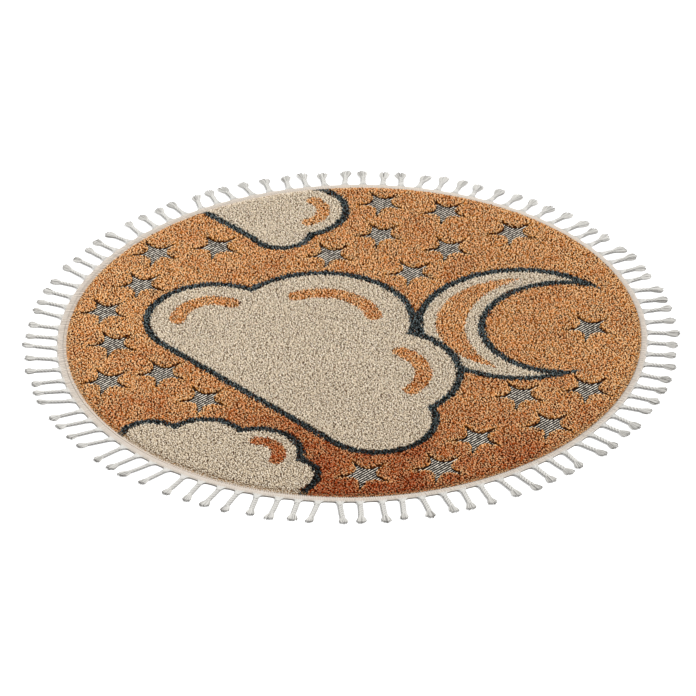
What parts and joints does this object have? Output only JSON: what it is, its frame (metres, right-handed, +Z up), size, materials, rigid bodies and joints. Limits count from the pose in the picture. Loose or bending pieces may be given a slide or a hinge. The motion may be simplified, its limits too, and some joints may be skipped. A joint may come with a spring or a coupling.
{
  "type": "round kids rug with tasselled fringe",
  "caption": "Round short-pile rug for a child's room, with sunken flat-woven stars and a fringe tape of twisted tassels, lying flat on the floor.",
  "frame": {"origin": "centre of the disc on the floor, at the rug's underside", "axes": "+Z up out of the floor, +Y towards the top of the pattern, +X to its right"},
  "size_m": [1.3153, 1.3211, 0.01],
  "materials": {
    "pile": "short frieze pile of terracotta, cream and charcoal yarn, with flat-woven grey heather stars",
    "fringe": "natural white cotton tape and twisted tassels"
  },
  "bodies": {
    "root": {"rug": "pile", "fringe": "fringe"}
  },
  "joints": []
}
